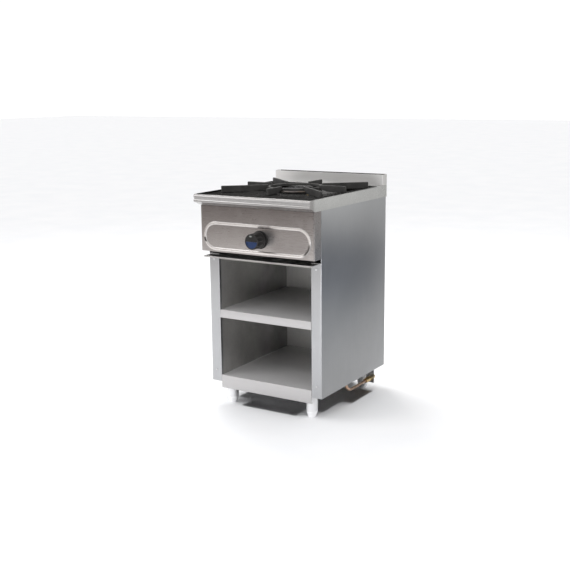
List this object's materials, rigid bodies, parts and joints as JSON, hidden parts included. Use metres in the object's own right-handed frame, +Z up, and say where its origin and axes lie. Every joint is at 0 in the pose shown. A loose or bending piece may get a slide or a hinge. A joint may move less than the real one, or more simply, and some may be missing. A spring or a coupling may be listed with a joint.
{
  "type": "commercial gas range",
  "caption": "Free-standing stainless steel gas range with an open burner, star pan support, control knob, drip tray, low backsplash and an open two-tier cabinet on round feet.",
  "frame": {"origin": "on the floor, under the middle of the range's bounding box", "axes": "+Z up, -Y to the front where the knob is, +X to the right seen from the front"},
  "size_m": [0.506, 0.638, 0.886],
  "materials": {
    "stainless_sheet": "brushed stainless sheet",
    "galvanised_steel": "zinc coated sheet and tube",
    "black_enamel": "gloss black vitreous enamel on steel",
    "cast_iron": "matt black enamelled casting",
    "burner_alloy": "bare machined iron, heat tinted",
    "machined_steel": "satin turned steel",
    "brass": "machined brass",
    "copper_pipe": "drawn copper tube",
    "bright_chrome": "polished chrome plate",
    "knob_black": "black moulded thermoset plastic",
    "knob_blue": "blue moulded insert"
  },
  "bodies": {
    "cabinet": {"air_shutter": "machined_steel", "back_liner": "stainless_sheet", "backsplash": "stainless_sheet", "base_channel_front": "galvanised_steel", "base_channel_rear": "galvanised_steel", "bottom_shelf": "stainless_sheet", "burner_bowl": "cast_iron", "burner_feed_pipe": "copper_pipe", "burner_rail": "galvanised_steel", "compartment_ceiling": "stainless_sheet", "control_panel": "stainless_sheet", "front_cross_rail": "galvanised_steel", "injector": "brass", "injector_holder": "brass", "inlet_bracket": "machined_steel", "inlet_fitting": "brass", "inlet_locknut": "bright_chrome", "inlet_pipe_nut": "brass", "knob_bezel": "knob_black", "leg_front_left": "stainless_sheet", "leg_front_right": "stainless_sheet", "leg_rear_left": "stainless_sheet", "leg_rear_right": "stainless_sheet", "manifold": "galvanised_steel", "middle_shelf": "stainless_sheet", "mixing_tube": "cast_iron", "pilot_bracket": "machined_steel", "pilot_burner": "brass", "pilot_feed_pipe": "copper_pipe", "post_screw_left_lower": "machined_steel", "post_screw_left_upper": "machined_steel", "post_screw_right_lower": "machined_steel", "post_screw_right_upper": "machined_steel", "rear_cross_rail": "galvanised_steel", "rear_panel": "stainless_sheet", "riser_pipe": "copper_pipe", "side_liner_left": "stainless_sheet", "side_liner_right": "stainless_sheet", "side_panel_left": "stainless_sheet", "side_panel_right": "stainless_sheet", "tap_body": "brass", "tap_magnet_unit": "machined_steel", "thermocouple": "machined_steel", "tray_guide_left": "galvanised_steel", "tray_guide_right": "galvanised_steel", "worktop": "stainless_sheet"},
    "push_rod": {"tap_push_rod": "machined_steel"},
    "knob": {"knob": "knob_black", "knob_insert": "knob_blue", "tap_spindle": "machined_steel"},
    "drip_tray": {"drip_tray": "stainless_sheet"},
    "spill_plate": {"spill_plate": "black_enamel"},
    "pan_support": {"pan_support": "cast_iron"},
    "burner_head": {"burner_head": "burner_alloy"},
    "burner_cap": {"burner_cap": "burner_alloy"},
    "foot_front_left": {"foot_front_left": "machined_steel"},
    "foot_front_right": {"foot_front_right": "machined_steel"},
    "foot_rear_left": {"foot_rear_left": "machined_steel"},
    "foot_rear_right": {"foot_rear_right": "machined_steel"}
  },
  "joints": [
    {"name": "knob_push", "type": "slide", "parent": "cabinet", "child": "push_rod", "axis": [0, 1, 0], "range_m": [0, 0.004], "stiffness_N_per_m": 1000, "springref_m": -0.003},
    {"name": "knob_turn", "type": "hinge", "parent": "push_rod", "child": "knob", "pos_m": [0.018, -0.261, 0.683], "axis": [0, -1, 0], "range_deg": [0, 180]},
    {"name": "drip_tray_slide", "type": "slide", "parent": "cabinet", "child": "drip_tray", "axis": [0, -1, 0], "range_m": [0, 0.4]},
    {"name": "spill_plate_lift", "type": "slide", "parent": "cabinet", "child": "spill_plate", "axis": [0, 0, 1], "range_m": [0, 0.12]},
    {"name": "pan_support_lift", "type": "slide", "parent": "spill_plate", "child": "pan_support", "axis": [0, 0, 1], "range_m": [0, 0.1]},
    {"name": "burner_head_lift", "type": "slide", "parent": "cabinet", "child": "burner_head", "axis": [0, 0, 1], "range_m": [0, 0.1]},
    {"name": "burner_cap_lift", "type": "slide", "parent": "burner_head", "child": "burner_cap", "axis": [0, 0, 1], "range_m": [0, 0.05]},
    {"name": "foot_front_left_screw", "type": "slide", "parent": "cabinet", "child": "foot_front_left", "axis": [0, 0, -1], "range_m": [0, 0.03]},
    {"name": "foot_front_right_screw", "type": "slide", "parent": "cabinet", "child": "foot_front_right", "axis": [0, 0, -1], "range_m": [0, 0.03]},
    {"name": "foot_rear_left_screw", "type": "slide", "parent": "cabinet", "child": "foot_rear_left", "axis": [0, 0, -1], "range_m": [0, 0.03]},
    {"name": "foot_rear_right_screw", "type": "slide", "parent": "cabinet", "child": "foot_rear_right", "axis": [0, 0, -1], "range_m": [0, 0.03]}
  ]
}
